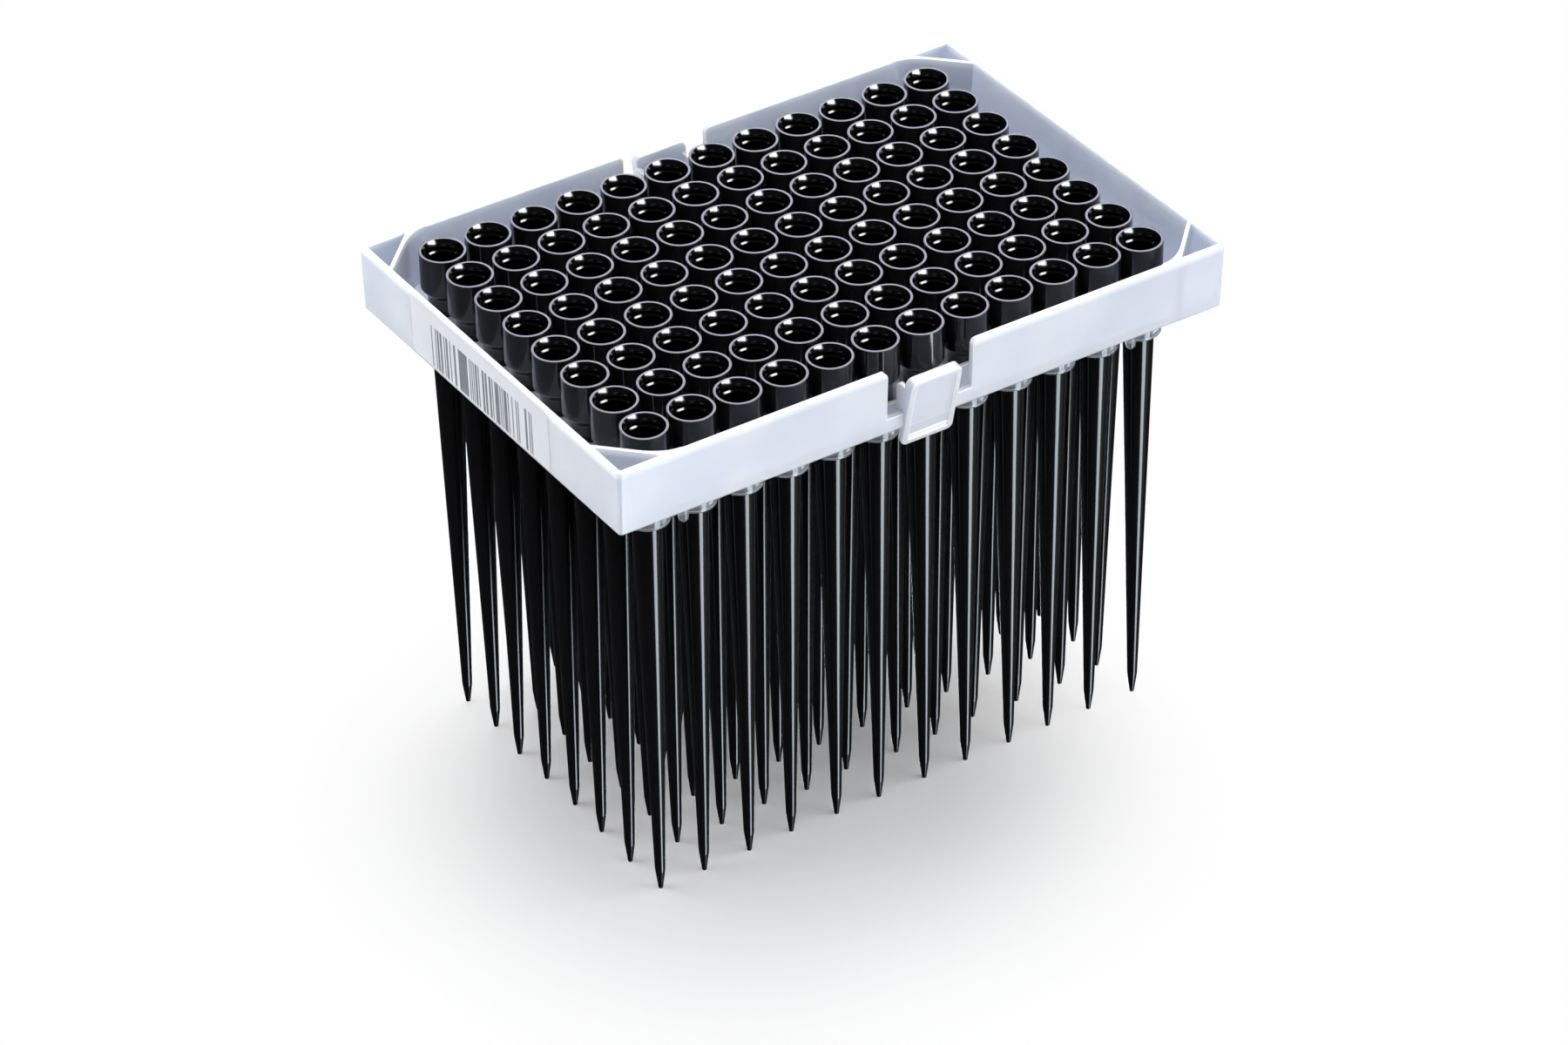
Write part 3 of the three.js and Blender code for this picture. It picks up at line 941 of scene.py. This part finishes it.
def build_clip(name, node, body, joint, sign, finish):
    others = [object_from("back_parts", clip_back_parts), object_from("rib", clip_rib)]
    piece = joined(object_from("plate", clip_plate), others, "UNION")
    piece.name = name
    turn = Matrix.Rotation(math.pi if sign > 0 else 0, 4, "Z")
    piece.data.transform(Matrix.Translation(hinges[joint]) @ turn)
    piece.data.materials.clear()
    piece.data.materials.append(finish)
    shade_smooth(piece)
    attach(piece, body)
    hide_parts(node)


# ---------------------------------------------------------------- print

def on_left_wall(level, out):
    """Turns the YZ plane onto the left end's outer face, at a level and a height above the face."""
    lean = math.atan(WALL_LEAN / wall_height)
    face = Vector((-half_length + inset_at(level) - out, 0, level))
    return Matrix.Translation(face) @ Matrix.Rotation(-lean, 4, "Y")


def make_label(bm):
    outline = rounded_rectangle(LABEL_LENGTH / 2, LABEL_HEIGHT / 2, LABEL_CORNER, 0)
    faces = (-LABEL_FILM / 2, LABEL_FILM / 2)
    loft(bm, [[Vector((x, point.x, point.y)) for point in outline] for x in faces])


def build_print(ink, film):
    """Bars that stand for no number, on a thin label on the left end's outer face."""
    label = object_from("label_film", make_label)
    middle = on_left_wall((deck_bottom + rim_level) / 2, 0)
    label.data.transform(middle @ Matrix.Translation((0, PRINT_SHIFT, 0)))
    label.data.materials.append(film)
    start = on_left_wall(deck_bottom + PRINT_FOOT + PRINT_HEIGHT / 2, LABEL_FILM / 2)
    place = start @ Matrix.Translation((0, PRINT_SHIFT - PRINT_LENGTH / 2, 0))
    bars = grown("printed_bars", bars_tree(ink), {}, place)
    for piece in (label, bars):
        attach(piece, "tray_body")


# ---------------------------------------------------------------- stage

def around(azimuth, elevation, distance):
    """A point seen from the rack's middle at an azimuth, right of the front, and an elevation."""
    a, e = math.radians(azimuth), math.radians(elevation)
    ray = Vector((math.sin(a) * math.cos(e), -math.cos(a) * math.cos(e), math.sin(e)))
    return Vector(RACK_MIDDLE) + distance * ray


def area_lamp(name, direction, size, strength, colour="#ffffff", drop=0.0):
    """A soft box that faces the rack's middle, both lowered by the drop. Its strength is its
    radiance."""
    data = bpy.data.lights.new(name, "AREA")
    data.shape = "RECTANGLE"
    data.size, data.size_y = size
    data.color = linear(colour)[:3]
    data.energy = strength * size[0] * size[1] * math.pi
    lamp = new_object(name, data)
    fall = Vector((0, 0, -drop))
    lamp.location = around(*direction) + fall
    ray = Vector(RACK_MIDDLE) + fall - lamp.location
    lamp.rotation_euler = ray.to_track_quat("-Z", "Y").to_euler()
    lamp.visible_camera = False
    return lamp


def lighting_lamp(*lamp):
    """A soft box that lights surfaces and is not seen in their gloss."""
    area_lamp(*lamp).visible_glossy = False


def gloss_lamp(*lamp):
    """A soft box that shows in gloss alone."""
    made = area_lamp(*lamp)
    made.visible_diffuse = False
    made.visible_transmission = False


def soft_surround():
    """A studio that is pale above the table and dark below it. The camera sees it white, and gloss
    nearly black."""
    world = bpy.data.worlds.new("soft_surround")
    world.use_nodes = True
    tree = world.node_tree
    tree.nodes.clear()
    place = add(tree, "ShaderNodeTexCoord").outputs["Generated"]
    height = add(tree, "ShaderNodeSeparateXYZ", {"Vector": place}).outputs["Z"]
    path = add(tree, "ShaderNodeLightPath").outputs
    above = add(
        tree, "ShaderNodeMapRange", {"Value": path["Is Glossy Ray"]}, To_Min=0.43, To_Max=0.05,
    )
    level = add(
        tree, "ShaderNodeMapRange", {"Value": height, "To Max": above.outputs["Result"]},
        From_Min=-0.05, From_Max=0.05, To_Min=0.03,
    )
    strength = add(
        tree, "ShaderNodeMath", {0: level.outputs["Result"], 1: path["Is Camera Ray"]},
        operation="MAXIMUM",
    )
    sky = add(
        tree, "ShaderNodeBackground", {"Strength": strength.outputs[0]}, Color=linear("#fbfcff"),
    )
    add(tree, "ShaderNodeOutputWorld", {"Surface": sky.outputs[0]})
    return world


def make_table(bm):
    corners = ((-1, -1), (1, -1), (1, 1), (-1, 1))
    bm.faces.new([bm.verts.new((TABLE_HALF * x, TABLE_HALF * y, 0)) for x, y in corners])


def build_stage():
    floor = object_from("table", make_table)
    floor.data.materials.append(pale_floor())
    floor.visible_glossy = False  # black tips mirror the dark studio round the table, not the table
    floor.visible_shadow = False
    bpy.context.scene.world = soft_surround()
    lighting_lamp("overhead", (150, 71, 1.1), (0.9, 0.9), 2.5)
    lighting_lamp("right_fill", (48, 7, LAMP_NEAR), (0.7, 0.6), 2.9)
    lighting_lamp("left_fill", (-122, 12, LAMP_NEAR), (0.6, 0.5), 3.2)
    gloss_lamp("strip", (15, 0, LAMP_FAR), (0.55, 1.75), 10.5, "#dfeaf5", STRIP_DROP)
    gloss_lamp("back_strip", (147, 0, LAMP_FAR), (0.3, 1.75), 10.0, "#dfeaf5", STRIP_DROP)
    gloss_lamp("window", (29.5, 18, LAMP_FAR), (0.9, 0.64), 22.0)
    gloss_lamp("behind", (146.5, 36, LAMP_FAR), (0.9, 0.5), 12.0, "#ebe6ff")
    gloss_lamp("zenith", (0, 90, LAMP_FAR), (1.5, 1.5), 13.0, "#f1eeff")


def build_camera():
    data = bpy.data.cameras.new("camera")
    data.lens = CAMERA_LENS
    data.sensor_width = 36
    data.clip_end = 50
    place = Vector(CAMERA_PLACE)
    forward = (Vector(CAMERA_AIM) - place).normalized()
    right = forward.cross(Vector((0, 0, 1))).normalized()
    right.rotate(Matrix.Rotation(CAMERA_ROLL, 3, forward))
    up = right.cross(forward)
    camera = new_object("camera", data)
    turned = Matrix((right, up, -forward)).transposed().to_4x4()
    camera.matrix_world = Matrix.Translation(place) @ turned
    bpy.context.scene.camera = camera


build_camera()
milky = natural_polypropylene(
    "natural_polypropylene_moulded",
    [(collar_bottom, 0.9), (polished_below, 0.9), (satin_above, 0.35),
     (rim_level - 1.5 * MM, 0.3), (rim_level - 0.6 * MM, 0.0)],
    0.26 * MM,
)
clip_milky = natural_polypropylene(
    "natural_polypropylene_clip", [(0.0, 0.25), (rim_level, 0.25)], 0.5 * MM,
)
build_tray(milky)
build_clip(
    "front_clip_moulding", "front_clip", "front_clip_body", "front_clip_rock", -1, clip_milky,
)
build_clip("rear_clip_moulding", "rear_clip", "rear_clip_body", "rear_clip_rock", 1, clip_milky)
build_stage()
build_tips(conductive_polypropylene(), rim_polypropylene())
build_print(printing_ink(), label_film())

bpy.context.scene.view_settings.view_transform = "Standard"
